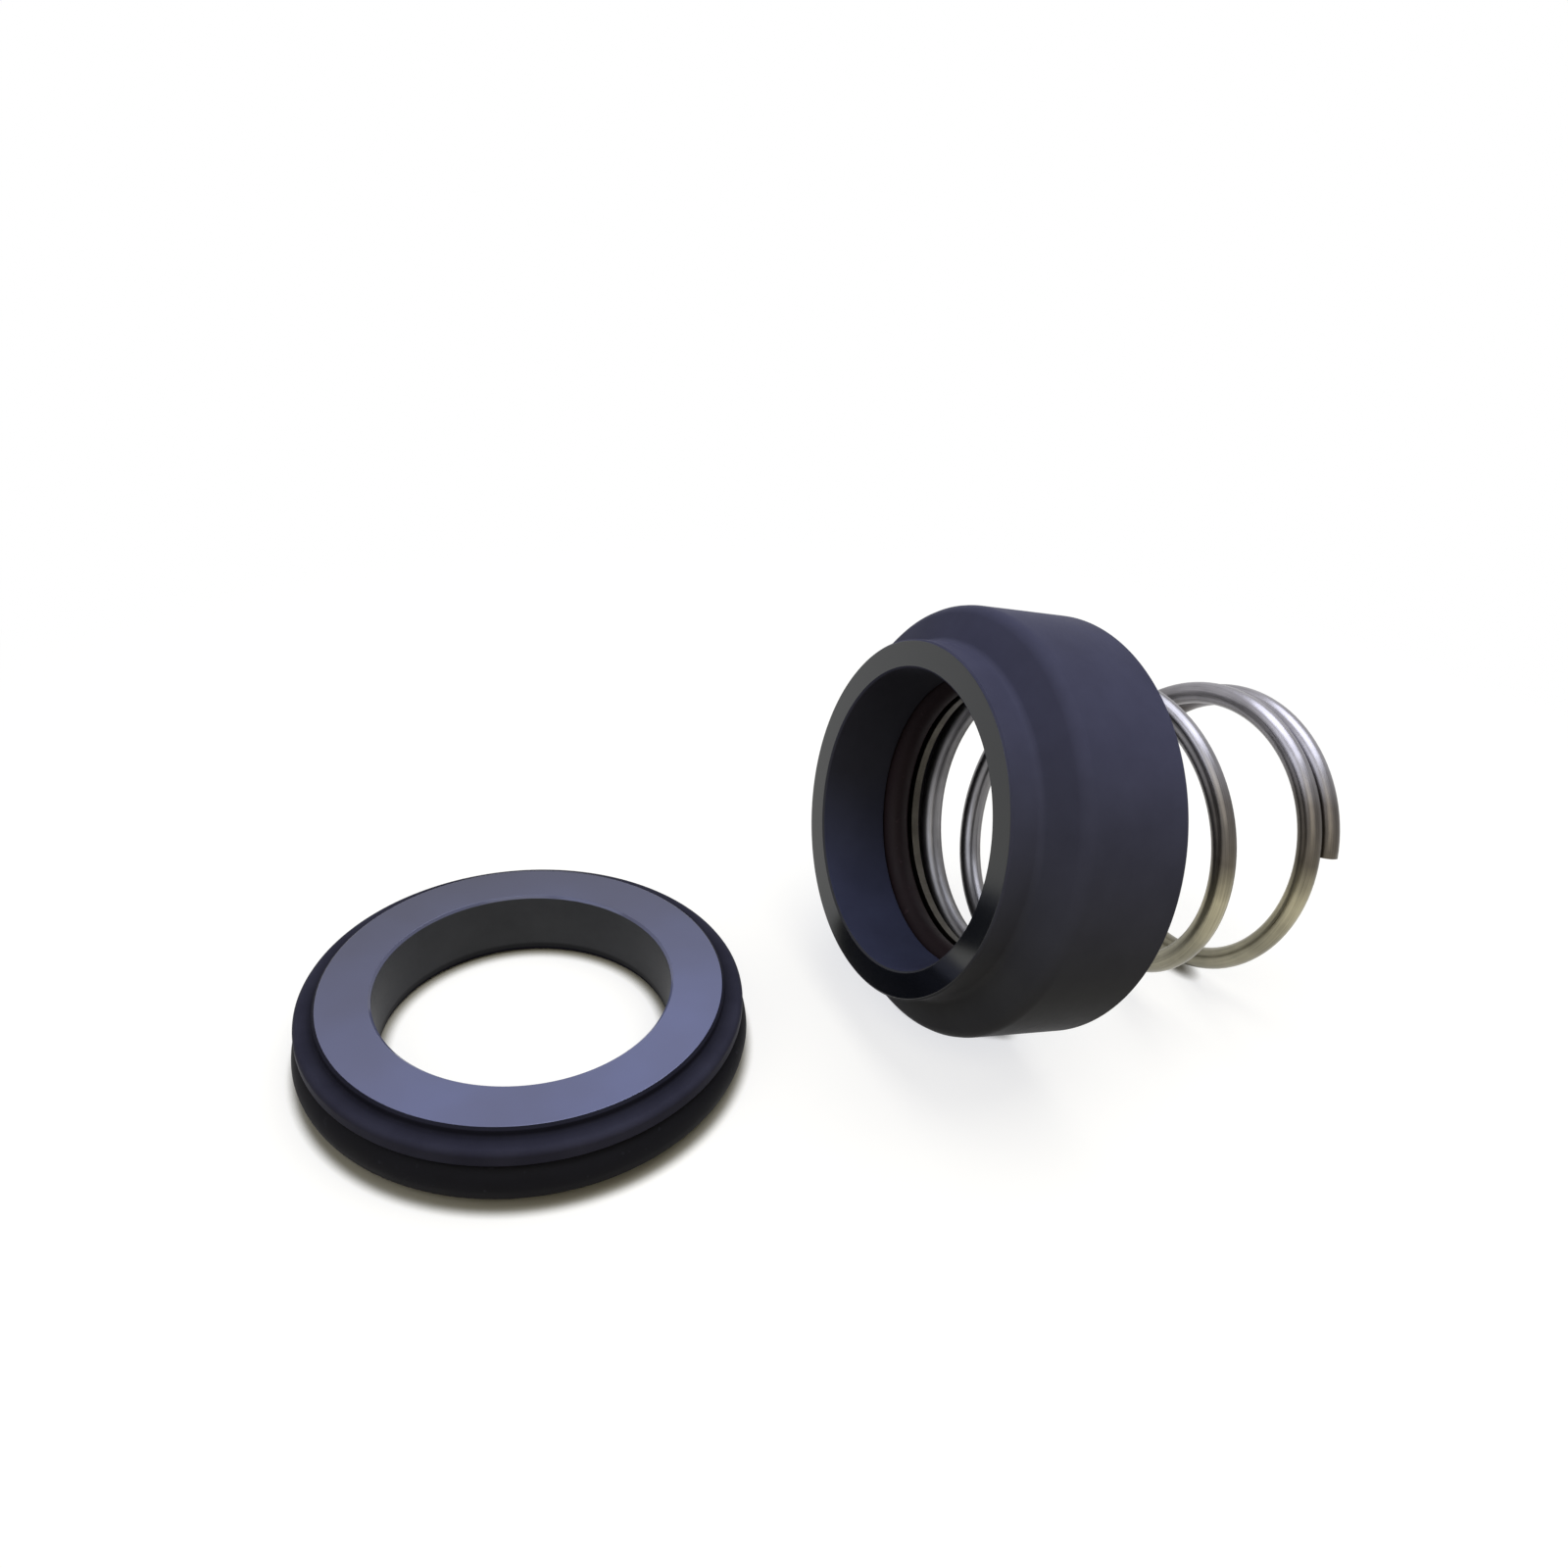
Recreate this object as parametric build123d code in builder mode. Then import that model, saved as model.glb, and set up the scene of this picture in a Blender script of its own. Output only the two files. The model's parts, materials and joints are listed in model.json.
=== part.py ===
"""Component mechanical seal for a 24 mm pump shaft, laid out as it is supplied.

The seat lies on its back at the origin, with its lapped face up. The rotary head lies beside it
on the rear rim of its ring and on the last turn of its spring, so its nose points a little upward.
All sizes are in millimetres.
"""

from build123d import *
from math import asin, atan2, cos, degrees, exp, hypot, log, pi, radians, sin
import os

# ---- The shaft that the seal fits
shaft_diameter = 24.0

# ---- Seat ring, from its back face (z = 0) up to its lapped face
seat_bore_clearance = 0.8  # to the shaft, on the radius
seat_wall = 2.85  # of the spigot, between the bore and the O-ring
seat_height = 6.55
seat_land_height = 0.85
seat_ledge_width = 1.65  # from the raised land out to the flange's rim
seat_rim_clearance = 0.3  # between the flange's rim and the housing, on the radius
seat_rim_thickness = 1.5
seat_back_chamfer = 0.4
seat_land_chamfer = 0.3
seat_edge_chamfer = 0.2

# ---- Seat O-ring, round the seat's spigot and under its flange
seat_o_ring_section = 4.0
seat_o_ring_squeeze = 0.15  # taken up by the housing, on the radius
seat_o_ring_gap = 0.05  # between the O-ring and the flange above it

# ---- Rotary ring, along its own axis
ring_diameter = 37.8
ring_length = 14.9
nose_diameter = 31.0
nose_bore_clearance = 1.0  # to the shaft, on the radius
nose_length = 2.8
cone_length = 1.75
lip_depth = 6.9  # from the nose face to the end of the narrow bore
nose_edge_chamfer = 0.25
lip_chamfer = 0.3
rim_chamfer = 0.35
mouth_chamfer = 0.6  # at the cavity's open end, where the spring enters

# ---- Shaft O-ring and thrust ring, in the rotary ring's cavity
shaft_o_ring_section = 2.65
cavity_clearance = 0.05  # round the O-ring, on the radius and on each side
thrust_ring_thickness = 0.8
thrust_bore_clearance = 0.2  # to the shaft, on the radius
thrust_rim_clearance = 0.1  # to the cavity's wall, on the radius
thrust_edge_chamfer = 0.1

# ---- Compression spring, right-hand, with closed turns at both ends
wire_diameter = 2.1
spring_shaft_clearance = 0.15  # on the radius
spring_free_length = 28.7
spring_seat_gap = 0.03  # between the front turn and the thrust ring
closed_turns_front = 1.25
active_turns = 1.45
closed_turns_tail = 1.3
closed_gap = 0.15  # between neighbouring wires of the closed turns
pitch_blend = 0.12  # turns over which the pitch changes from closed to open
tail_cut_angle = -72.6  # of the wire's cut end, from straight up, in degrees
path_steps_per_turn = 12

# ---- How the two halves are laid out
lay_gap = 11.45  # clear distance from the seat's O-ring to the head, along X
lay_side = -7.5  # of the head's axis, along Y

# ---- Sizes that follow
shaft_radius = shaft_diameter / 2
seat_bore_radius = shaft_radius + seat_bore_clearance
seat_spigot_radius = seat_bore_radius + seat_wall
seat_o_ring_radius = seat_spigot_radius + seat_o_ring_section / 2
housing_radius = seat_spigot_radius + seat_o_ring_section - seat_o_ring_squeeze
seat_rim_radius = housing_radius - seat_rim_clearance
seat_land_radius = seat_rim_radius - seat_ledge_width
seat_land_foot = seat_height - seat_land_height
seat_flange_under = seat_land_foot - seat_rim_thickness
seat_o_ring_height = seat_flange_under - seat_o_ring_gap - seat_o_ring_section / 2

ring_radius = ring_diameter / 2
nose_bore_radius = shaft_radius + nose_bore_clearance
cavity_radius = shaft_radius + shaft_o_ring_section + cavity_clearance
cavity_end = ring_length - lip_depth
shaft_o_ring_radius = shaft_radius + shaft_o_ring_section / 2
shaft_o_ring_place = cavity_end - cavity_clearance - shaft_o_ring_section / 2
thrust_front = shaft_o_ring_place - shaft_o_ring_section / 2 - cavity_clearance
thrust_back = thrust_front - thrust_ring_thickness

coil_radius = shaft_radius + spring_shaft_clearance + wire_diameter / 2
spring_front = thrust_back - spring_seat_gap
spring_tail = spring_front - spring_free_length
spring_turns = closed_turns_front + active_turns + closed_turns_tail
closed_pitch = wire_diameter + closed_gap
wire_rise = spring_free_length - wire_diameter
open_pitch = (wire_rise - closed_pitch * (spring_turns - active_turns)) / active_turns


def ramp(turn, start):
    """The turns gone since start, rounded off where the pitch begins to change."""
    return pitch_blend * log(1 + exp((turn - start) / pitch_blend))


def wire_height(turn):
    """The wire's height above its tail end, after so many turns."""
    opened = ramp(turn, closed_turns_tail)
    closed_again = ramp(turn, closed_turns_tail + active_turns)
    return closed_pitch * turn + (open_pitch - closed_pitch) * (opened - closed_again)


# ---- The head's resting place: its rear rim and the bottom of its tail turn touch the floor
low_turn = (180 - tail_cut_angle) / 360
low_coil = spring_tail + wire_diameter / 2 + wire_height(low_turn)
overhang = rim_chamfer - low_coil
rim_step = ring_radius - coil_radius
tilt = atan2(rim_step, overhang) - asin(wire_diameter / 2 / hypot(rim_step, overhang))
head_centre = (
    seat_o_ring_radius + seat_o_ring_section / 2 + lay_gap + ring_length,
    lay_side,
    ring_radius * cos(tilt) - rim_chamfer * sin(tilt),
)
nose_direction = (-cos(tilt), 0, sin(tilt))
up_direction = (sin(tilt), 0, cos(tilt))

# The head is drawn from the centre of its rear face, with z towards the nose and x upward.
head_plane = Plane(origin=head_centre, x_dir=up_direction, z_dir=nose_direction)
# Half sections of the head's round pieces: x is the radius and y the height above the rear face.
head_section = Plane(origin=head_centre, x_dir=up_direction, z_dir=(0, -1, 0))
head_axis = Axis(origin=head_centre, direction=nose_direction)


# ---- Seat ring: a spigot, a flange and the raised, lapped land
with BuildPart() as seat_ring:
    with BuildSketch(Plane.XZ) as seat_profile:
        with BuildLine():
            Polyline(
                (seat_bore_radius + seat_back_chamfer, 0),
                (seat_spigot_radius - seat_back_chamfer, 0),
                (seat_spigot_radius, seat_back_chamfer),
                (seat_spigot_radius, seat_flange_under),
                (seat_rim_radius - seat_edge_chamfer, seat_flange_under),
                (seat_rim_radius, seat_flange_under + seat_edge_chamfer),
                (seat_rim_radius, seat_land_foot - seat_edge_chamfer),
                (seat_rim_radius - seat_edge_chamfer, seat_land_foot),
                (seat_land_radius, seat_land_foot),
                (seat_land_radius, seat_height - seat_land_chamfer),
                (seat_land_radius - seat_land_chamfer, seat_height),
                (seat_bore_radius + seat_edge_chamfer, seat_height),
                (seat_bore_radius, seat_height - seat_edge_chamfer),
                (seat_bore_radius, seat_back_chamfer),
                close=True,
            )
        make_face()
    revolve(axis=Axis.Z)

# ---- Seat O-ring
with BuildPart() as seat_o_ring:
    with BuildSketch(Plane.XZ):
        with Locations((seat_o_ring_radius, seat_o_ring_height)):
            Circle(seat_o_ring_section / 2)
    revolve(axis=Axis.Z)

# ---- Rotary ring: solid nose, cone and body, with a stepped bore open to the rear
with BuildPart() as rotary_ring:
    with BuildSketch(head_section) as ring_profile:
        with BuildLine():
            Polyline(
                (cavity_radius + mouth_chamfer, 0),
                (ring_radius - rim_chamfer, 0),
                (ring_radius, rim_chamfer),
                (ring_radius, ring_length - nose_length - cone_length),
                (nose_diameter / 2, ring_length - nose_length),
                (nose_diameter / 2, ring_length - nose_edge_chamfer),
                (nose_diameter / 2 - nose_edge_chamfer, ring_length),
                (nose_bore_radius + nose_edge_chamfer, ring_length),
                (nose_bore_radius, ring_length - nose_edge_chamfer),
                (nose_bore_radius, cavity_end + lip_chamfer),
                (nose_bore_radius + lip_chamfer, cavity_end),
                (cavity_radius, cavity_end),
                (cavity_radius, mouth_chamfer),
                close=True,
            )
        make_face()
    revolve(axis=head_axis)

# ---- Shaft O-ring, against the end of the cavity
with BuildPart() as shaft_o_ring:
    with BuildSketch(head_section):
        with Locations((shaft_o_ring_radius, shaft_o_ring_place)):
            Circle(shaft_o_ring_section / 2)
    revolve(axis=head_axis)

# ---- Thrust ring: a flat steel washer between the O-ring and the spring
with BuildPart() as thrust_ring:
    with BuildSketch(head_section):
        with Locations((shaft_radius + thrust_bore_clearance, thrust_back)):
            Rectangle(
                cavity_radius - thrust_rim_clearance - shaft_radius - thrust_bore_clearance,
                thrust_ring_thickness,
                align=(Align.MIN, Align.MIN),
            )
        chamfer(vertices(), thrust_edge_chamfer)
    revolve(axis=head_axis)

# ---- Spring: one round wire wound right-hand, closed, open and closed again, with cut ends
path_points = []
for step in range(round(spring_turns * path_steps_per_turn) + 1):
    turn = spring_turns * step / round(spring_turns * path_steps_per_turn)
    angle = radians(tail_cut_angle) + 2 * pi * turn
    height = spring_tail + wire_diameter / 2 + wire_height(turn)
    path_points.append((coil_radius * cos(angle), coil_radius * sin(angle), height))

with BuildPart() as spring:
    with BuildLine(head_plane) as wire_path:
        Spline(*path_points)
    with BuildSketch(Plane(origin=wire_path.line @ 0, z_dir=wire_path.line % 0)):
        Circle(wire_diameter / 2)
    sweep(path=wire_path.line, is_frenet=True)

pieces = {
    "seat_ring": seat_ring,
    "seat_o_ring": seat_o_ring,
    "rotary_ring": rotary_ring,
    "shaft_o_ring": shaft_o_ring,
    "thrust_ring": thrust_ring,
    "spring": spring,
}
os.makedirs("parts", exist_ok=True)
for name, piece in pieces.items():
    piece.part.label = name
    export_step(piece.part, f"parts/{name}.step")

print(f"head tilt {degrees(tilt):.2f} degrees, open pitch {open_pitch:.2f} mm")
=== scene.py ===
"""Looks of the component mechanical seal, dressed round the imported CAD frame.

Six pieces each stand for one CAD node: the seat ring and its O-ring, and the rotary head's ring,
O-ring, washer and spring. Sizes are in millimetres unless a comment says metres.
"""

import json
from collections import namedtuple
from math import cos, exp, log, pi, radians, sin, tan

import bpy
from mathutils import Matrix, Vector

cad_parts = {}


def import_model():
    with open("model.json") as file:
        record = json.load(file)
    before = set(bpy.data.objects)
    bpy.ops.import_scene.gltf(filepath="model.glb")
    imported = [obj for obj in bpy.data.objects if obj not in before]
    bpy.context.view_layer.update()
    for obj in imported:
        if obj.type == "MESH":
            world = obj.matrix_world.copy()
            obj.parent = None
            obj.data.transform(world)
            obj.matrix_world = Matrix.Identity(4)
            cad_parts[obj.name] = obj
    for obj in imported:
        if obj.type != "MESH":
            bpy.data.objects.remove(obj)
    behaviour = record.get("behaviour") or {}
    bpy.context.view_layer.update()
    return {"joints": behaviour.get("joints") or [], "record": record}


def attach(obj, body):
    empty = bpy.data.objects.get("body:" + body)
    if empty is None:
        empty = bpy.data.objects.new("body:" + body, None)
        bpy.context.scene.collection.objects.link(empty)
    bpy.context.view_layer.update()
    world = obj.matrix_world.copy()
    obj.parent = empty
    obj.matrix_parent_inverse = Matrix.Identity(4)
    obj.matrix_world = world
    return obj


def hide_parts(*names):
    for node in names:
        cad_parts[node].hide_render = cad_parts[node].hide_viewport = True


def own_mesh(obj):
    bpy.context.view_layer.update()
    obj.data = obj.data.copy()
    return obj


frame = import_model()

MM = 0.001
MICRON = 0.000001

# ---- Radii, heights and lengths in millimetres, as in the CAD
SEAT_BORE, SEAT_LAND, SEAT_RIM, SEAT_SPIGOT = 12.8, 17.55, 19.2, 15.65
SEAT_HEIGHT, SEAT_LEDGE, SEAT_UNDER = 6.55, 5.7, 4.2
SEAT_O_RING, SEAT_O_RING_SECTION, SEAT_O_RING_HEIGHT = 17.65, 4.0, 2.15
RING, RING_LENGTH, NOSE, NOSE_BORE = 18.9, 14.9, 15.5, 13.0
NOSE_LENGTH, CONE_LENGTH, CAVITY, CAVITY_END = 2.8, 1.75, 14.7, 8.0
SHAFT_O_RING, SHAFT_O_RING_SECTION, SHAFT_O_RING_PLACE = 13.325, 2.65, 6.625
WASHER_IN, WASHER_OUT, WASHER_BACK, WASHER_THICK = 12.2, 14.6, 4.45, 0.8
WIRE, COIL, SPRING_TAIL, SPRING_LENGTH = 2.1, 13.2, -24.28, 28.7
TURNS_TAIL, TURNS_OPEN, TURNS_FRONT = 1.3, 1.45, 1.25
TURNS = TURNS_TAIL + TURNS_OPEN + TURNS_FRONT
CLOSED_PITCH, PITCH_BLEND, TAIL_CUT = 2.25, 0.12, radians(-72.6)
OPEN_PITCH = (SPRING_LENGTH - WIRE - CLOSED_PITCH * (TURNS - TURNS_OPEN)) / TURNS_OPEN

# ---- Broken edges, as widths across the radius and depths along the axis, in millimetres
LAND_EDGE, LAND_EDGE_DEPTH = 0.25, 0.22
SEAT_BORE_EDGE = 0.24
NOSE_EDGE = 0.17
REAR_EDGE, REAR_EDGE_DEPTH = 0.22, 0.25
MOUTH_EDGE, MOUTH_EDGE_DEPTH = 0.45, 0.5

# ---- How finely the meshes are made
LATHE_SEGMENTS, CORNER_STEPS = 256, 4
SEAT_O_RING_MESH, SHAFT_O_RING_MESH = (288, 56), (256, 40)  # points round the ring, round its section
WIRE_AROUND, WIRE_PER_TURN = 32, 110
TURN_STEP = 0.001  # turns, for the wire's direction

# ---- The O-rings' mould line: its height, by which the section is thinner, and its width in radians
MOULD_LINE, MOULD_LINE_ANGLE = 0.02, 0.06

# ---- The wire's sheared ends: rings on the face, as share of the radius and height, then its middle
CUT_RINGS = ((0.93, 0.03), (0.86, 0.02), (0.5, -0.02))
CUT_MIDDLE = -0.02
WIRE_PER_UV = 10  # millimetres of wire for 1 of its texture coordinate

# ---- Material slots of the two carbide rings, of the wire, and of the pieces in one material
GROUND, LAPPED, BORED = 0, 1, 2
WIRE_SIDE, WIRE_CUT = 0, 1
PLAIN = 0

# ---- Tones, each a dark and a light one, in linear red, green and blue
SEAT_GROUND = ((0.018, 0.0175, 0.027), (0.026, 0.0255, 0.038))
SEAT_BORED = ((0.046, 0.047, 0.051), (0.062, 0.063, 0.069))
# Painted reflection: the lapped seat face's light bluish tones are partly its own colour and partly a
# painted reflection of a bright sky.
SEAT_LAPPED = ((0.110, 0.112, 0.178), (0.129, 0.140, 0.246))
# Painted reflection falloff: the lapped seat face's tones at its far side, greyer and darker.
SEAT_LAPPED_FAR_PAINTED_FALLOFF = ((0.057, 0.053, 0.071), (0.066, 0.066, 0.097))
HEAD_GROUND = ((0.046, 0.046, 0.073), (0.056, 0.056, 0.089))
# Painted light and shade: the head's lower side, neutral and darker than its top, which is painted
# bluer as if lit by cool light from above.
HEAD_GROUND_PAINTED_SHADE_LOW = ((0.042, 0.042, 0.046), (0.051, 0.051, 0.056))
HEAD_BORED = ((0.030, 0.030, 0.040), (0.037, 0.037, 0.049))
# Painted light: the lower inside of the head's bore, lighter and bluer, as if lit from above through
# the bore.
HEAD_BORED_PAINTED_LIGHT_LOW = ((0.036, 0.039, 0.070), (0.044, 0.048, 0.086))
HEAD_LAPPED = ((0.007, 0.008, 0.011), (0.009, 0.010, 0.014))
BLACK_RUBBER = ((0.0055, 0.0052, 0.0065), (0.0095, 0.0092, 0.0115))
BROWN_RUBBER = ((0.0105, 0.0058, 0.0068), (0.0165, 0.0095, 0.0110))
WASHER_STEEL = ((0.040, 0.036, 0.030), (0.072, 0.066, 0.055))
CUT_STEEL = ((0.14, 0.08, 0.06), (0.27, 0.19, 0.16))
DUST_LIGHTER = (2.5, 2.6, 2.6)  # dust on rubber, against its light tone

# ---- The wire's colour: plain by and inside the ring, and behind it painted reflections by height above the head's axis
WIRE_PLAIN = (0.19, 0.185, 0.19)
# Painted reflections: warm olive at the bottom, a dark brown band higher up, bright highlights at the
# top.
WARM_REFLECTION_LOW, WARM_REFLECTION, WARM_REFLECTION_EDGE = (0.22, 0.205, 0.155), (0.235, 0.22, 0.16), (0.33, 0.30, 0.205)
DARK_REFLECTION_LOW, DARK_REFLECTION = (0.098, 0.085, 0.066), (0.088, 0.079, 0.073)
HIGHLIGHT_LOW, HIGHLIGHT = (0.20, 0.193, 0.205), (0.26, 0.25, 0.27)
WIRE_PAINTED_REFLECTIONS = (
    (-12.9, WARM_REFLECTION_LOW),
    (-6.0, WARM_REFLECTION),
    (0.0, WARM_REFLECTION_EDGE),
    (3.6, DARK_REFLECTION_LOW),
    (8.4, DARK_REFLECTION),
    (11.1, HIGHLIGHT_LOW),
    (13.5, HIGHLIGHT),
)
WIRE_REACH = 15.0  # heights run from minus this to plus this

# ---- Gloss tints, lights and floor
SATIN_TINT, SEAT_TINT, NOSE_TINT = (0.85, 0.87, 1.0), (0.70, 0.74, 1.0), (0.86, 0.88, 0.86)
COOL_LIGHT, WARM_LIGHT = (0.84, 0.88, 1.0), (1.0, 0.97, 0.86)
LAMP_AIM = (0.03, 0, 0.01)  # metres
FLOOR_CENTRE, FLOOR_RADIUS, FLOOR_SIDES = 0.02, 3, 64  # metres
FLOOR_BASE, FLOOR_LIFT, WHITE = (0.36, 0.335, 0.26), (0.95, 0.96, 1), (1, 1, 1)
FLOOR_LIFT_STRENGTH, CONTACT_REACH = 0.745, 0.0018  # reach in metres
OBJECT_MIDDLE, SHADOW_FULL, SHADOW_GONE = (0.027, -0.004, 0), 0.06, 0.14  # metres
WORLD_LIGHT = 0.06

# ---- The photograph's view
VIEW_AZIMUTH, VIEW_ELEVATION, VIEW_ROLL = radians(64.598), radians(29.395), radians(-3.753)
VIEW_PLACE = (-16.261, -84.553, 74.933)
FOCAL_PIXELS, FRAME_PIXELS, SENSOR = 1237.7, 1600, 36.0
CLIP_NEAR, CLIP_FAR = 0.005, 20  # metres


def placed(origin, x, y, z):
    """The matrix that puts an object at origin, in metres, with its axes along x, y and z."""
    return Matrix.Translation(origin) @ Matrix((x, y, z)).transposed().to_4x4()


# ---- The head's axes: z towards the nose from the centre of the rear face, x upward
NOSE_WARD = Vector(frame["joints"][0]["axis"]).normalized()
UPWARD = Vector((0, 1, 0)).cross(NOSE_WARD)
mounts = {mount["name"]: mount for mount in frame["record"]["mounts"]}
HEAD = Vector(mounts["spring_end"]["pos_m"]) - NOSE_WARD * SPRING_TAIL * MM
HEAD_MATRIX = placed(HEAD, UPWARD, NOSE_WARD.cross(UPWARD), NOSE_WARD)


# ---- Mesh tools
def rounded(corners):
    """The outline through (radius, height, rounding, slot) corners, with each corner rounded.

    It comes as (point, outward normal, slot), and the corners run counter-clockwise.
    """
    outline = []
    for i, (x, y, rounding, slot) in enumerate(corners):
        corner = Vector((x, y))
        back = (Vector(corners[i - 1][:2]) - corner).normalized()
        ahead = (Vector(corners[(i + 1) % len(corners)][:2]) - corner).normalized()
        half = back.angle(ahead) / 2
        first, last = Vector((-back.y, back.x)), Vector((ahead.y, -ahead.x))
        turn = first.angle_signed(last)
        centre = corner + (back + ahead).normalized() * (rounding / sin(half))
        start = corner + back * (rounding / tan(half))
        sign = 1 if (start - centre).dot(first) > 0 else -1
        for step in range(CORNER_STEPS + 1):
            normal = Matrix.Rotation(-turn * step / CORNER_STEPS, 2) @ first
            outline.append((centre + normal * rounding * sign, normal, slot))
    return outline


def ring_faces(sections, points):
    """The quads between neighbouring sections of a ring, each a closed loop of points."""
    faces = []
    for s in range(sections):
        t = (s + 1) % sections
        for k in range(points):
            j = (k + 1) % points
            faces.append((s * points + k, t * points + k, t * points + j, s * points + j))
    return faces


def lathe(name, corners):
    """A ring turned round the local z axis, with exact normals and a slot for each stretch."""
    outline = rounded(corners)
    verts, normals = [], []
    for s in range(LATHE_SEGMENTS):
        c, w = cos(2 * pi * s / LATHE_SEGMENTS), sin(2 * pi * s / LATHE_SEGMENTS)
        for point, normal, slot in outline:
            verts.append((point.x * c * MM, point.x * w * MM, point.y * MM))
            normals.append((normal.x * c, normal.x * w, normal.y))
    slots = [slot for *_, slot in outline] * LATHE_SEGMENTS
    faces = ring_faces(LATHE_SEGMENTS, len(outline))
    return finish_mesh(name, verts, faces, slots, normals=normals)


def o_ring(name, radius, section, height, fineness):
    """An O-ring, with a thin mould line round its outer and inner sides."""
    segments, around = fineness
    verts = []
    for s in range(segments):
        a = 2 * pi * s / segments
        for k in range(around):
            b = 2 * pi * k / around
            from_line = min(abs(b), abs(b - 2 * pi), abs(b - pi))
            line = MOULD_LINE * exp(-((from_line / MOULD_LINE_ANGLE) ** 2))
            thick = (section - MOULD_LINE) / 2 + line
            out = radius + thick * cos(b)
            verts.append((out * cos(a) * MM, out * sin(a) * MM, (height + thick * sin(b)) * MM))
    faces = ring_faces(segments, around)
    return finish_mesh(name, verts, faces, [PLAIN] * len(faces))


def finish_mesh(name, verts, faces, slots, normals=None, uvs=None):
    """A smooth-shaded object, with a slot for each face and, where given, normals or UVs."""
    mesh = bpy.data.meshes.new(name)
    mesh.from_pydata(verts, [], faces)
    mesh.polygons.foreach_set("use_smooth", [True] * len(faces))
    mesh.polygons.foreach_set("material_index", slots)
    if uvs:
        layer = mesh.uv_layers.new(name="UVMap")
        layer.data.foreach_set("uv", [value for uv in uvs for value in uv])
    if normals:
        mesh.normals_split_custom_set_from_vertices(normals)
    mesh.validate()
    return linked(name, mesh)


def linked(name, data):
    """A new object in the scene."""
    obj = bpy.data.objects.new(name, data)
    bpy.context.scene.collection.objects.link(obj)
    return obj


# ---- Node tools
NOISE_LOW, NOISE_HIGH = 0.3, 0.7  # where a noise's dark and light tones are reached
MIX_FIRST, MIX_SECOND, MIX_RESULT = 6, 7, 2  # the colour sockets of a Mix node
Axes = namedtuple("Axes", "place x y z radius")


def material(name):
    """A new node material, with its node tree and its shader."""
    mat = bpy.data.materials.new(name)
    mat.use_nodes = True
    return mat, mat.node_tree, mat.node_tree.nodes["Principled BSDF"]


def node(nt, kind, **values):
    """A new node, with its sockets or its own settings set to the values."""
    made = nt.nodes.new(kind)
    for key, value in values.items():
        if key in made.inputs:
            made.inputs[key].default_value = value
        else:
            setattr(made, key, value)
    return made


def feed(nt, value, socket):
    """Links an output to a socket, or sets the socket to a number or a colour."""
    if isinstance(value, bpy.types.NodeSocket):
        nt.links.new(value, socket)
    elif isinstance(value, tuple):
        socket.default_value = (*value, 1)
    else:
        socket.default_value = value


def math_node(nt, operation, *values):
    """The result of a Math node on one or two values."""
    made = node(nt, "ShaderNodeMath", operation=operation)
    for value, socket in zip(values, made.inputs):
        feed(nt, value, socket)
    return made.outputs[0]


def noise(nt, vector, scale, detail, rough=0.55):
    """A noise of 0 to 1, with about so many lumps for each 1 of the vector."""
    made = node(nt, "ShaderNodeTexNoise", Scale=scale, Detail=detail, Roughness=rough)
    nt.links.new(vector, made.inputs["Vector"])
    return made.outputs["Fac"]


def ramp(nt, factor, stops):
    """A colour that follows (place, colour) stops as the factor goes from 0 to 1."""
    made = nt.nodes.new("ShaderNodeValToRGB")
    elements = made.color_ramp.elements
    while len(elements) < len(stops):
        elements.new(0.5)
    for element, (place, colour) in zip(elements, stops):
        element.position = place
        element.color = (*colour, 1)
    nt.links.new(factor, made.inputs["Fac"])
    return made.outputs["Color"]


def toned(nt, cloud, tones):
    """A colour that goes from a dark to a light tone with a noise."""
    dark, light = tones
    return ramp(nt, cloud, ((NOISE_LOW, dark), (NOISE_HIGH, light)))


def spread(nt, factor, low, high, start=NOISE_LOW, end=NOISE_HIGH):
    """A number that goes from low to high as the factor goes from start to end."""
    made = nt.nodes.new("ShaderNodeMapRange")
    values = {"From Min": start, "From Max": end, "To Min": low, "To Max": high}
    for key, value in values.items():
        made.inputs[key].default_value = value
    nt.links.new(factor, made.inputs["Value"])
    return made.outputs["Result"]


def blended(nt, first, second, share):
    """The first number for so large a share, and the second for the rest."""
    one = math_node(nt, "MULTIPLY", first, share)
    return math_node(nt, "ADD", one, math_node(nt, "MULTIPLY", second, 1 - share))


def mixed(nt, factor, first, second):
    """A colour that goes from the first to the second as the factor goes from 0 to 1."""
    made = node(nt, "ShaderNodeMix", data_type="RGBA")
    nt.links.new(factor, made.inputs["Factor"])
    feed(nt, first, made.inputs[MIX_FIRST])
    feed(nt, second, made.inputs[MIX_SECOND])
    return made.outputs[MIX_RESULT]


def drifted(nt, colour, cloud, along, tones, start, end):
    """A colour that drifts to other tones along an axis, from start to end in metres."""
    return mixed(nt, spread(nt, along, 0, 1, start, end), colour, toned(nt, cloud, tones))


def scaled(nt, colour, factor):
    """A colour made lighter or darker by a factor."""
    made = node(nt, "ShaderNodeVectorMath", operation="SCALE")
    nt.links.new(colour, made.inputs[0])
    nt.links.new(factor, made.inputs["Scale"])
    return made.outputs[0]


def bump(nt, shader, height, distance, strength, over=None):
    """Bumps on a shader, of so many metres at most, over those made before."""
    made = node(nt, "ShaderNodeBump", Strength=strength, Distance=distance)
    nt.links.new(height, made.inputs["Height"])
    if over:
        nt.links.new(over, made.inputs["Normal"])
    nt.links.new(made.outputs["Normal"], shader.inputs["Normal"])
    return made.outputs["Normal"]


def object_place(nt):
    """A point's place in the object's own axes, in metres."""
    return nt.nodes.new("ShaderNodeTexCoord").outputs["Object"]


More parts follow.
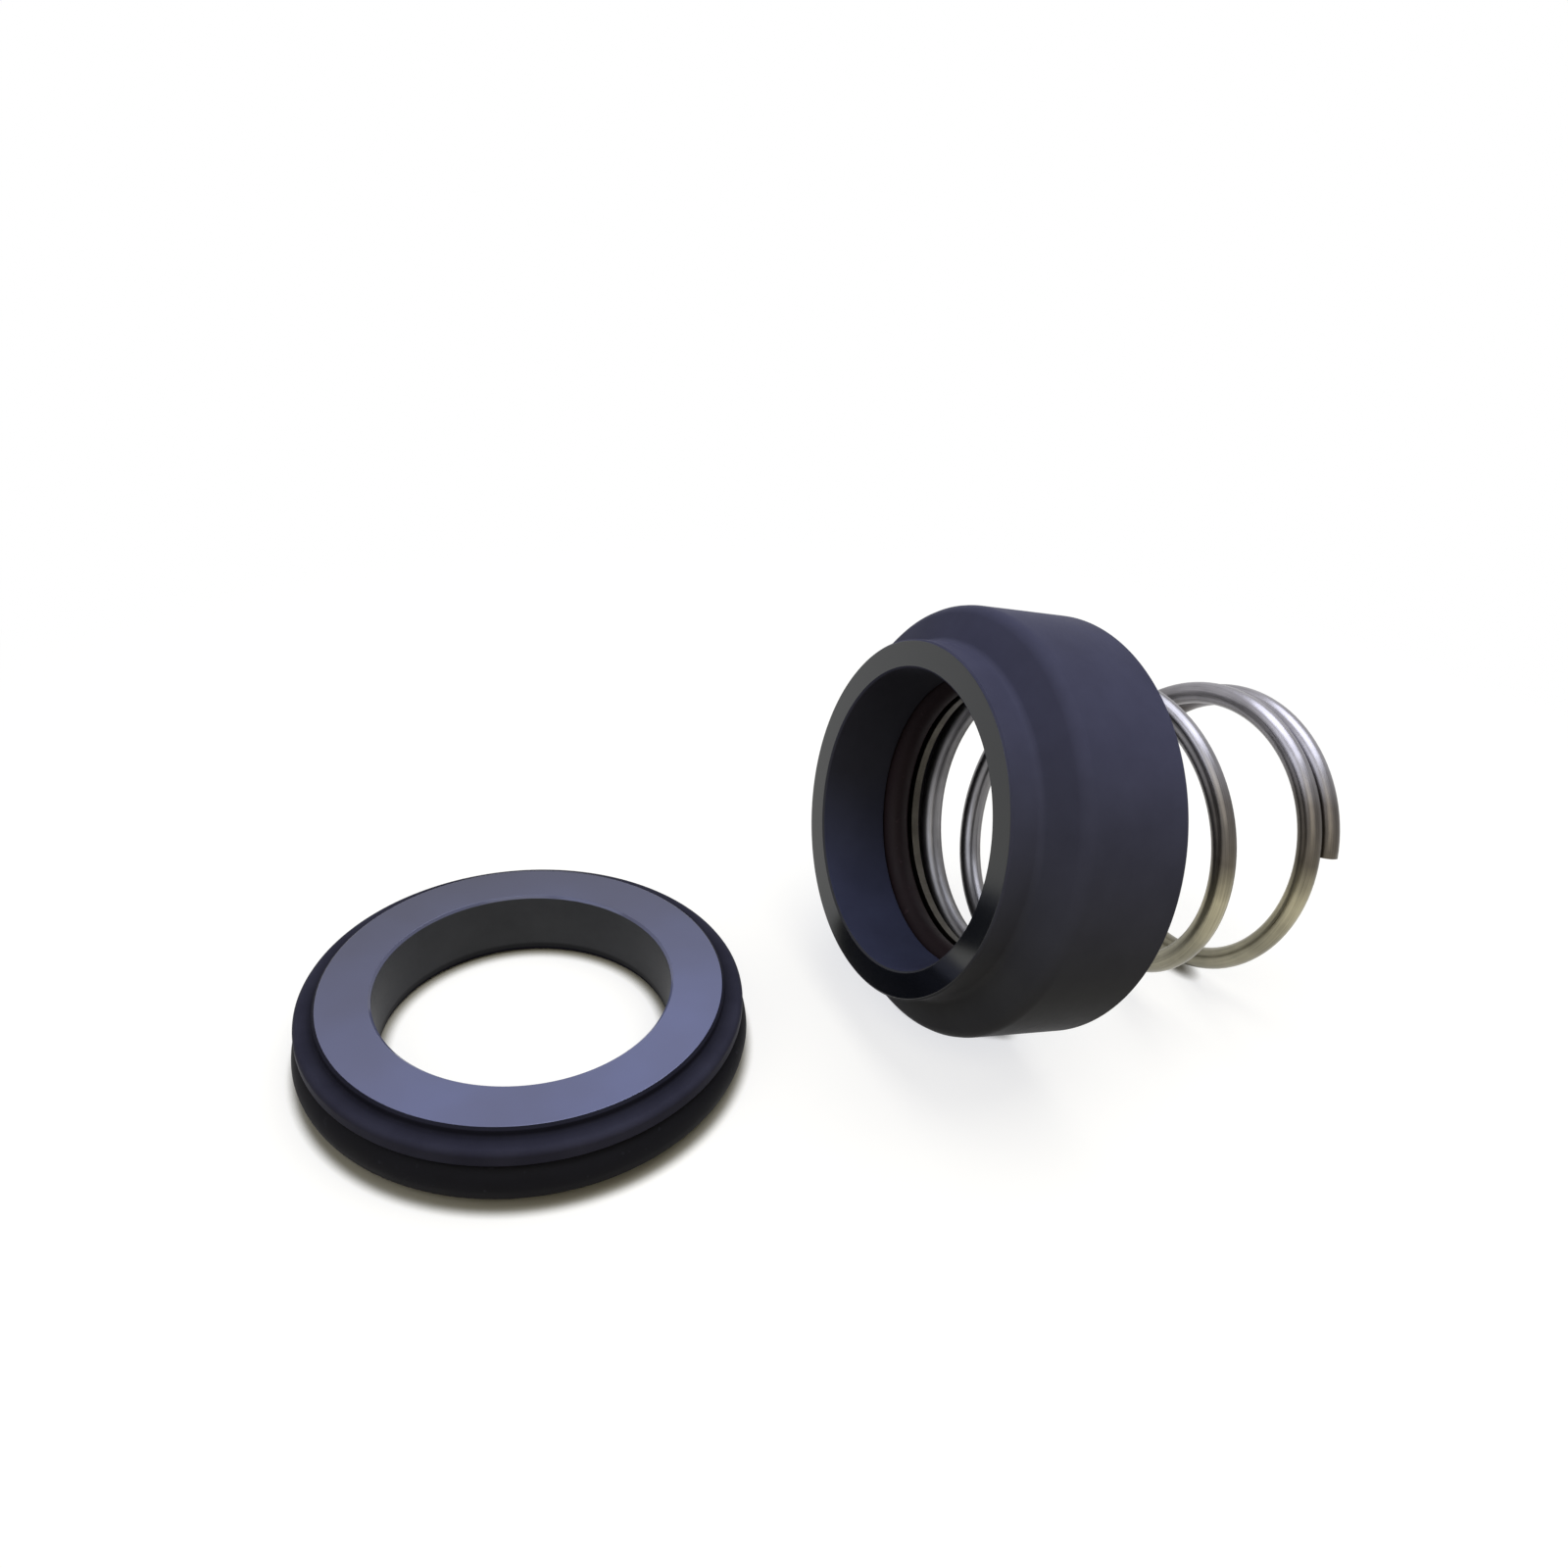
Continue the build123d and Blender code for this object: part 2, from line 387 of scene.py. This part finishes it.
def axes(nt):
    """The place in the object's own axes, its parts, and its distance from the local z axis."""
    place = object_place(nt)
    parts = nt.nodes.new("ShaderNodeSeparateXYZ")
    nt.links.new(place, parts.inputs[0])
    x, y, z = parts.outputs
    squares = math_node(nt, "ADD", math_node(nt, "MULTIPLY", x, x), math_node(nt, "MULTIPLY", y, y))
    return Axes(place, x, y, z, math_node(nt, "SQRT", squares))


def turned(nt):
    """Coordinates that hardly change round the local z axis, so that a noise on them looks turned."""
    around = 2 * MM
    own = axes(nt)
    parts = (
        math_node(nt, "MULTIPLY", math_node(nt, "DIVIDE", own.x, own.radius), around),
        math_node(nt, "MULTIPLY", math_node(nt, "DIVIDE", own.y, own.radius), around),
        math_node(nt, "ADD", own.z, own.radius),
    )
    join = nt.nodes.new("ShaderNodeCombineXYZ")
    for part, socket in zip(parts, join.inputs):
        nt.links.new(part, socket)
    return join.outputs[0]


# ---- Materials
def ground_carbide(name, tones, gloss, shade_factor=None, low=None):
    """Ground silicon carbide: near black and satin, with faint lines round its axis.

    A given factor on the tones paints light and shade. low is (tones, start, end) for a drift along
    the local x that paints light and shade.
    """
    mat, nt, shader = material(name)
    place = object_place(nt)
    cloud = noise(nt, place, scale=180, detail=4)
    grain = noise(nt, place, scale=6500, detail=2)
    lines = noise(nt, turned(nt), scale=9000, detail=2)
    colour = toned(nt, cloud, tones)
    # Painted light and shade: the given factor darkens or lightens the tones where shade or light
    # falls.
    if shade_factor:
        colour = scaled(nt, colour, shade_factor(nt))
    # Painted light and shade: the tones drift along the local x, from a lit top to a lower side.
    if low:
        colour = drifted(nt, colour, cloud, axes(nt).x, *low)
    nt.links.new(colour, shader.inputs["Base Color"])
    streaks = blended(nt, cloud, lines, share=0.5)
    nt.links.new(spread(nt, streaks, low=0.36, high=0.50), shader.inputs["Roughness"])
    feed(nt, gloss, shader.inputs["Specular IOR Level"])
    feed(nt, SATIN_TINT, shader.inputs["Specular Tint"])
    over = bump(nt, shader, lines, distance=4 * MICRON, strength=0.5)
    bump(nt, shader, grain, distance=6 * MICRON, strength=0.4, over=over)
    return mat


def ledge_painted_shade_and_highlight(nt):
    """Painted shade and highlight on the seat's ledge: darker in the corner at the land's foot, where
    shade falls, and lighter out to the rim's rounded edge, where light catches.
    """
    return spread(nt, axes(nt).radius, low=0.75, high=1.45, start=17.8 * MM, end=19.1 * MM)


def bore_foot_painted_shade(nt):
    """Painted shadow on the seat's bore: its lowest part, at the back edge by the floor, is darker.
    """
    return spread(nt, axes(nt).z, low=0.35, high=1.0, start=0.9 * MM, end=1.2 * MM)


def lapped_carbide(name, tones, tint, ior, far=None):
    """Lapped silicon carbide: a flat dark mirror, slightly hazy, with a few soft smudges.

    far is (tones, start, end) for a drift along the local y that paints a reflection's falloff:
    greyer and darker towards the far side.
    """
    mat, nt, shader = material(name)
    place = object_place(nt)
    cloud = noise(nt, place, scale=70, detail=3)
    grain = noise(nt, place, scale=9000, detail=2)
    colour = toned(nt, cloud, tones)
    # Painted reflection: the tones drift greyer and darker towards the far side.
    if far:
        colour = drifted(nt, colour, cloud, axes(nt).y, *far)
    nt.links.new(colour, shader.inputs["Base Color"])
    nt.links.new(spread(nt, cloud, low=0.10, high=0.16), shader.inputs["Roughness"])
    feed(nt, ior, shader.inputs["IOR"])
    feed(nt, tint, shader.inputs["Specular Tint"])
    bump(nt, shader, grain, distance=0.8 * MICRON, strength=0.3)
    return mat


def rubber(name, tones, roughness, gloss):
    """Moulded rubber: matt, slightly grained, with specks of dust."""
    mat, nt, shader = material(name)
    place = object_place(nt)
    cloud = noise(nt, place, scale=260, detail=4)
    grain = noise(nt, place, scale=5000, detail=3)
    dust = noise(nt, place, scale=1500, detail=2, rough=0.4)
    dusty = tuple(light * lighter for light, lighter in zip(tones[1], DUST_LIGHTER))
    speckled = spread(nt, dust, low=0, high=0.5, start=0.68, end=0.78)
    colour = mixed(nt, speckled, toned(nt, cloud, tones), dusty)
    nt.links.new(colour, shader.inputs["Base Color"])
    nt.links.new(spread(nt, cloud, *roughness), shader.inputs["Roughness"])
    feed(nt, gloss, shader.inputs["Specular IOR Level"])
    over = bump(nt, shader, grain, distance=10 * MICRON, strength=0.5)
    bump(nt, shader, cloud, distance=50 * MICRON, strength=0.3, over=over)
    return mat


def washer_steel():
    """The washer's stamped steel: dark, with fine lines round it."""
    mat, nt, shader = material("washer_steel")
    lines = noise(nt, turned(nt), scale=5000, detail=3)
    cloud = noise(nt, object_place(nt), scale=400, detail=3)
    nt.links.new(toned(nt, cloud, WASHER_STEEL), shader.inputs["Base Color"])
    feed(nt, 1.0, shader.inputs["Metallic"])
    nt.links.new(spread(nt, lines, low=0.26, high=0.42), shader.inputs["Roughness"])
    bump(nt, shader, lines, distance=6 * MICRON, strength=0.5)
    return mat


def draw_lines(nt):
    """Fine lines along the wire, from its texture coordinates."""
    along_wire = node(nt, "ShaderNodeUVMap", uv_map="UVMap").outputs[0]
    stretch = node(nt, "ShaderNodeMapping", Scale=(60, 1.2, 1))
    nt.links.new(along_wire, stretch.inputs["Vector"])
    return noise(nt, stretch.outputs[0], scale=1.0, detail=4, rough=0.6)


def wire_painted_reflections(nt, own):
    """Painted reflections by height on the coil: a bright highlight high up, a dark brown band lower
    and a warm olive reflection at the bottom, and plain by and inside the ring.
    """
    height = spread(nt, own.x, 0, 1, -WIRE_REACH * MM, WIRE_REACH * MM)
    stops = [((up + WIRE_REACH) / (2 * WIRE_REACH), tone) for up, tone in WIRE_PAINTED_REFLECTIONS]
    outside = spread(nt, own.z, low=1, high=0, start=-10 * MM, end=-4 * MM)
    return mixed(nt, outside, WIRE_PLAIN, ramp(nt, height, stops))


def wire_steel():
    """The spring's drawn steel, streaked along the wire, and duller inside the ring."""
    mat, nt, shader = material("spring_wire")
    own = axes(nt)
    draw = draw_lines(nt)
    cloud = noise(nt, own.place, scale=220, detail=3)
    streaks = blended(nt, draw, cloud, share=0.55)
    lighter = spread(nt, streaks, low=0.7, high=1.3, start=0.35, end=0.65)
    # The base colour carries painted reflections by height on the coil.
    colour = scaled(nt, wire_painted_reflections(nt, own), lighter)
    nt.links.new(colour, shader.inputs["Base Color"])
    feed(nt, 1.0, shader.inputs["Metallic"])
    dull = spread(nt, own.z, low=0, high=0.11, start=-2 * MM, end=1 * MM)
    rough = math_node(nt, "ADD", spread(nt, draw, low=0.26, high=0.38), dull)
    nt.links.new(rough, shader.inputs["Roughness"])
    bump(nt, shader, draw, distance=3 * MICRON, strength=0.35)
    return mat


def cut_steel():
    """The wire's sheared ends: dull, grained and a little brown."""
    mat, nt, shader = material("spring_cut_end")
    grain = noise(nt, object_place(nt), scale=4000, detail=4)
    nt.links.new(toned(nt, grain, CUT_STEEL), shader.inputs["Base Color"])
    feed(nt, 0.7, shader.inputs["Metallic"])
    nt.links.new(spread(nt, grain, low=0.45, high=0.7), shader.inputs["Roughness"])
    bump(nt, shader, grain, distance=30 * MICRON, strength=0.7)
    return mat


def dress(obj, body, slot, cad_node, *mats):
    """Gives a piece its materials and its body, and hides the CAD node that it stands for. The name
    of its finish is passed in but not used.
    """
    for mat in mats:
        obj.data.materials.append(mat)
    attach(obj, body)
    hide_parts(cad_node)


# ---- Pieces: each corner of a ring is (radius, height, rounding, slot)
def seat_ring():
    """The stationary ring: a spigot, a flange and a raised, lapped land."""
    obj = lathe("seat_ring_turned", (
        (SEAT_BORE, 0, 0.6, GROUND),
        (SEAT_SPIGOT, 0, 0.35, GROUND),
        (SEAT_SPIGOT, SEAT_UNDER, 0.15, GROUND),
        (SEAT_RIM, SEAT_UNDER, 0.3, GROUND),
        (SEAT_RIM, SEAT_LEDGE, 0.55, GROUND),
        (SEAT_LAND, SEAT_LEDGE, 0.25, GROUND),
        (SEAT_LAND, SEAT_HEIGHT - LAND_EDGE_DEPTH, 0.1, GROUND),
        (SEAT_LAND - LAND_EDGE, SEAT_HEIGHT, 0.08, LAPPED),
        (SEAT_BORE + SEAT_BORE_EDGE, SEAT_HEIGHT, 0.1, LAPPED),
        (SEAT_BORE, SEAT_HEIGHT - SEAT_BORE_EDGE, 0.1, BORED),
    ))
    # Painted shade and highlight on the ledge, as a factor on the ground tones.
    ground = ground_carbide("seat_carbide_ground", SEAT_GROUND, gloss=0.01, shade_factor=ledge_painted_shade_and_highlight)
    # Painted reflection on the lapped face, greyer and darker towards the far side.
    far = (SEAT_LAPPED_FAR_PAINTED_FALLOFF, -8 * MM, 17 * MM)
    lapped = lapped_carbide("seat_carbide_lapped", SEAT_LAPPED, SEAT_TINT, ior=1.45, far=far)
    # Painted shadow at the foot of the bore.
    bored = ground_carbide("seat_carbide_bored", SEAT_BORED, gloss=0.08, shade_factor=bore_foot_painted_shade)
    dress(obj, "laid_out_seal", "silicon_carbide", "seat_ring", ground, lapped, bored)


def seat_o_ring():
    """The black O-ring round the seat's spigot."""
    sizes = SEAT_O_RING, SEAT_O_RING_SECTION, SEAT_O_RING_HEIGHT
    obj = o_ring("seat_o_ring_moulded", *sizes, SEAT_O_RING_MESH)
    black = rubber("black_rubber", BLACK_RUBBER, roughness=(0.55, 0.7), gloss=0.06)
    dress(obj, "laid_out_seal", "black_rubber", "seat_o_ring", black)


def rotary_ring():
    """The head's ring: a body, a cone and a nose, with a stepped bore open to the rear."""
    obj = lathe("rotary_ring_turned", (
        (CAVITY + MOUTH_EDGE, 0, 0.2, GROUND),
        (RING - REAR_EDGE, 0, 0.15, GROUND),
        (RING, REAR_EDGE_DEPTH, 0.2, GROUND),
        (RING, RING_LENGTH - NOSE_LENGTH - CONE_LENGTH, 1.5, GROUND),
        (NOSE, RING_LENGTH - NOSE_LENGTH, 0.8, GROUND),
        (NOSE, RING_LENGTH - NOSE_EDGE, 0.1, GROUND),
        (NOSE - NOSE_EDGE, RING_LENGTH, 0.06, LAPPED),
        (NOSE_BORE + NOSE_EDGE, RING_LENGTH, 0.06, GROUND),
        (NOSE_BORE, RING_LENGTH - NOSE_EDGE, 0.1, BORED),
        (NOSE_BORE, CAVITY_END, 0.25, BORED),
        (CAVITY, CAVITY_END, 0.15, GROUND),
        (CAVITY, MOUTH_EDGE_DEPTH, 0.3, GROUND),
    ))
    obj.matrix_world = HEAD_MATRIX
    # Painted light and shade: bluer at the top, drifting to neutral towards the lower side.
    low = (HEAD_GROUND_PAINTED_SHADE_LOW, 14 * MM, -6 * MM)
    ground = ground_carbide("head_carbide_ground", HEAD_GROUND, gloss=0.01, low=low)
    lapped = lapped_carbide("head_carbide_lapped", HEAD_LAPPED, NOSE_TINT, ior=1.52)
    # Painted light: lighter and bluer towards the lower inside of the bore.
    low = (HEAD_BORED_PAINTED_LIGHT_LOW, -2 * MM, -12 * MM)
    bored = ground_carbide("head_carbide_bored", HEAD_BORED, gloss=0.01, low=low)
    dress(obj, "laid_out_seal", "silicon_carbide", "rotary_ring", ground, lapped, bored)


def shaft_o_ring():
    """The dark red-brown O-ring in the head's cavity."""
    sizes = SHAFT_O_RING, SHAFT_O_RING_SECTION, SHAFT_O_RING_PLACE
    obj = o_ring("shaft_o_ring_moulded", *sizes, SHAFT_O_RING_MESH)
    obj.matrix_world = HEAD_MATRIX
    brown = rubber("brown_rubber", BROWN_RUBBER, roughness=(0.5, 0.65), gloss=0.12)
    dress(obj, "laid_out_seal", "brown_rubber", "shaft_o_ring", brown)


def thrust_ring():
    """The stamped washer between the O-ring and the spring."""
    washer_front = WASHER_BACK + WASHER_THICK
    obj = lathe("thrust_ring_stamped", (
        (WASHER_IN, WASHER_BACK, 0.12, PLAIN),
        (WASHER_OUT, WASHER_BACK, 0.12, PLAIN),
        (WASHER_OUT, washer_front, 0.05, PLAIN),
        (WASHER_IN, washer_front, 0.05, PLAIN),
    ))
    obj.matrix_world = HEAD_MATRIX
    dress(obj, "laid_out_seal", "washer_steel", "thrust_ring", washer_steel())


def turns_since(turn, start):
    """The turns gone since start, rounded off where the pitch begins to change."""
    return PITCH_BLEND * log(1 + exp((turn - start) / PITCH_BLEND))


def wire_centre(turn):
    """The middle of the wire after so many turns from the tail, in the head's axes."""
    opened = turns_since(turn, TURNS_TAIL) - turns_since(turn, TURNS_TAIL + TURNS_OPEN)
    height = CLOSED_PITCH * turn + (OPEN_PITCH - CLOSED_PITCH) * opened
    angle = TAIL_CUT + 2 * pi * turn
    return Vector((COIL * cos(angle), COIL * sin(angle), SPRING_TAIL + WIRE / 2 + height))


def wire_direction(turn):
    """The way the wire runs after so many turns."""
    return (wire_centre(turn + TURN_STEP) - wire_centre(turn - TURN_STEP)).normalized()


def wire_points(sections):
    """The points of the wire's sections, and its length up to each section."""
    verts, lengths = [], []
    length = 0.0
    before = wire_centre(0)
    for i in range(sections + 1):
        turn = TURNS * i / sections
        centre = wire_centre(turn)
        length += (centre - before).length
        lengths.append(length)
        before = centre
        ahead = wire_direction(turn)
        side = ahead.cross(Vector((centre.x, centre.y, 0))).normalized()
        out = side.cross(ahead)
        for k in range(WIRE_AROUND):
            b = 2 * pi * k / WIRE_AROUND
            verts.append((centre + (out * cos(b) + side * sin(b)) * WIRE / 2) * MM)
    return verts, lengths


def wire_sides(lengths):
    """The quads between neighbouring sections of the wire, and their UVs, long along the wire."""
    faces, uvs = [], []
    for i in range(len(lengths) - 1):
        here, there = i * WIRE_AROUND, (i + 1) * WIRE_AROUND
        v0, v1 = lengths[i] / WIRE_PER_UV, lengths[i + 1] / WIRE_PER_UV
        for k in range(WIRE_AROUND):
            j = (k + 1) % WIRE_AROUND
            u0, u1 = k / WIRE_AROUND, (k + 1) / WIRE_AROUND
            faces.append((here + k, here + j, there + j, there + k))
            uvs += [(u0, v0), (u1, v0), (u1, v1), (u0, v1)]
    return faces, uvs


def wire_end(verts, first, turn, sign):
    """Adds the points of one cut end, and gives its faces: a rounded rim and a hollow face.

    first is the first point of the wire's last section there, and sign is 1 at the front end.
    """
    centre = wire_centre(turn)
    outward = wire_direction(turn) * sign
    section = list(range(first, first + WIRE_AROUND))
    ring, faces = section, []
    for share, push in CUT_RINGS:
        start = len(verts)
        for point in section:
            radial = verts[point] / MM - centre
            verts.append((centre + radial * share + outward * push) * MM)
        inner = list(range(start, start + WIRE_AROUND))
        for k in range(WIRE_AROUND):
            j = (k + 1) % WIRE_AROUND
            faces.append((ring[k], ring[j], inner[j], inner[k]))
        ring = inner
    middle = len(verts)
    verts.append((centre + outward * CUT_MIDDLE) * MM)
    faces += [(ring[k], ring[(k + 1) % WIRE_AROUND], middle) for k in range(WIRE_AROUND)]
    return faces if sign > 0 else [face[::-1] for face in faces]


def spring():
    """One round wire, swept along its coil, with a small burr at each sheared end."""
    sections = round(TURNS * WIRE_PER_TURN)
    verts, lengths = wire_points(sections)
    faces, uvs = wire_sides(lengths)
    slots = [WIRE_SIDE] * len(faces)
    cuts = wire_end(verts, 0, 0, -1) + wire_end(verts, sections * WIRE_AROUND, TURNS, 1)
    slots += [WIRE_CUT] * len(cuts)
    uvs += [(0, 0)] * sum(len(face) for face in cuts)
    obj = finish_mesh("spring_wire_coil", [tuple(v) for v in verts], faces + cuts, slots, uvs=uvs)
    obj.matrix_world = HEAD_MATRIX
    dress(obj, "head_spring", "spring_steel", "spring", wire_steel(), cut_steel())
    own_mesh(obj)


# ---- Stage, light and camera
def shown(nt):
    """1 for camera, glossy and transmission rays, and 0 for the rays that light the object."""
    path = nt.nodes.new("ShaderNodeLightPath")
    either = math_node(nt, "MAXIMUM", path.outputs["Is Camera Ray"], path.outputs["Is Glossy Ray"])
    return math_node(nt, "MAXIMUM", either, path.outputs["Is Transmission Ray"])


def near_floor(nt, seen):
    """The floor by the object: it takes the shadow, and shows white where nothing shades it."""
    base = node(nt, "ShaderNodeBsdfDiffuse", Color=(*FLOOR_BASE, 1))
    lift = node(nt, "ShaderNodeEmission", Color=(*FLOOR_LIFT, 1))
    contact = node(nt, "ShaderNodeAmbientOcclusion", Distance=CONTACT_REACH).outputs["AO"]
    open_sky = spread(nt, contact, low=0, high=1, start=0.53, end=0.86)
    strength = math_node(nt, "MULTIPLY", seen, FLOOR_LIFT_STRENGTH)
    nt.links.new(math_node(nt, "MULTIPLY", strength, open_sky), lift.inputs["Strength"])
    both = nt.nodes.new("ShaderNodeAddShader")
    nt.links.new(base.outputs[0], both.inputs[0])
    nt.links.new(lift.outputs[0], both.inputs[1])
    return both.outputs[0]


def floor_white():
    """The floor's material, which turns to the plain white of the background further out."""
    mat = bpy.data.materials.new("floor_white")
    mat.use_nodes = True
    nt = mat.node_tree
    nt.nodes.clear()
    seen = shown(nt)
    white = node(nt, "ShaderNodeEmission", Color=(*WHITE, 1), Strength=1.0)
    away = node(nt, "ShaderNodeVectorMath", operation="DISTANCE")
    away.inputs[1].default_value = OBJECT_MIDDLE
    nt.links.new(object_place(nt), away.inputs[0])
    far = spread(nt, away.outputs["Value"], low=0, high=1, start=SHADOW_FULL, end=SHADOW_GONE)
    mix = nt.nodes.new("ShaderNodeMixShader")
    nt.links.new(math_node(nt, "MULTIPLY", far, seen), mix.inputs[0])
    nt.links.new(near_floor(nt, seen), mix.inputs[1])
    nt.links.new(white.outputs[0], mix.inputs[2])
    out = nt.nodes.new("ShaderNodeOutputMaterial")
    nt.links.new(mix.outputs[0], out.inputs[0])
    return mat


def floor():
    """A flat, round floor under both halves."""
    mesh = bpy.data.meshes.new("floor")
    angles = [2 * pi * k / FLOOR_SIDES for k in range(FLOOR_SIDES)]
    verts = [(FLOOR_CENTRE + FLOOR_RADIUS * cos(a), FLOOR_RADIUS * sin(a), 0) for a in angles]
    mesh.from_pydata(verts, [], [tuple(range(FLOOR_SIDES))])
    obj = linked("floor", mesh)
    obj.data.materials.append(floor_white())


def world():
    """A background that shows as white, and lights the object only a little."""
    studio = bpy.data.worlds.new("studio")
    bpy.context.scene.world = studio
    studio.use_nodes = True
    nt = studio.node_tree
    back = nt.nodes["Background"]
    strength = spread(nt, shown(nt), low=WORLD_LIGHT, high=1, start=0, end=1)
    nt.links.new(strength, back.inputs["Strength"])
    feed(nt, WHITE, back.inputs["Color"])


def lamp(name, place, size, power, colour):
    """A square soft box, in metres and watts, that looks at the object."""
    light = bpy.data.lights.new(name, "AREA")
    light.shape = "RECTANGLE"
    light.size = light.size_y = size
    light.energy = power
    light.color = colour
    obj = linked(name, light)
    obj.location = place
    obj.rotation_euler = (Vector(LAMP_AIM) - Vector(place)).to_track_quat("-Z", "Y").to_euler()


def lights():
    """A large key lamp above, and two weaker ones at the side and in front."""
    world()
    lamp("key_softbox", (0.14, 0.02, 0.45), size=0.40, power=2.1, colour=COOL_LIGHT)
    lamp("side_softbox", (-0.30, -0.06, 0.38), size=0.30, power=0.6, colour=COOL_LIGHT)
    lamp("front_softbox", (-0.06, -0.34, 0.32), size=0.30, power=0.6, colour=WARM_LIGHT)


def camera():
    """The photograph's view."""
    level = Vector((cos(VIEW_AZIMUTH), sin(VIEW_AZIMUTH), 0))
    ahead = level * cos(VIEW_ELEVATION) - Vector((0, 0, sin(VIEW_ELEVATION)))
    across = Vector((level.y, -level.x, 0))
    downward = ahead.cross(across)
    right = across * cos(VIEW_ROLL) + downward * sin(VIEW_ROLL)
    down = downward * cos(VIEW_ROLL) - across * sin(VIEW_ROLL)
    data = bpy.data.cameras.new("camera")
    data.sensor_width = SENSOR
    data.lens = SENSOR * FOCAL_PIXELS / FRAME_PIXELS
    data.clip_start, data.clip_end = CLIP_NEAR, CLIP_FAR
    obj = linked("camera", data)
    obj.matrix_world = placed(Vector(VIEW_PLACE) * MM, right, -down, -ahead)
    bpy.context.scene.camera = obj


camera()
seat_ring()
seat_o_ring()
rotary_ring()
shaft_o_ring()
thrust_ring()
spring()
floor()
lights()
bpy.context.scene.view_settings.view_transform = "Standard"
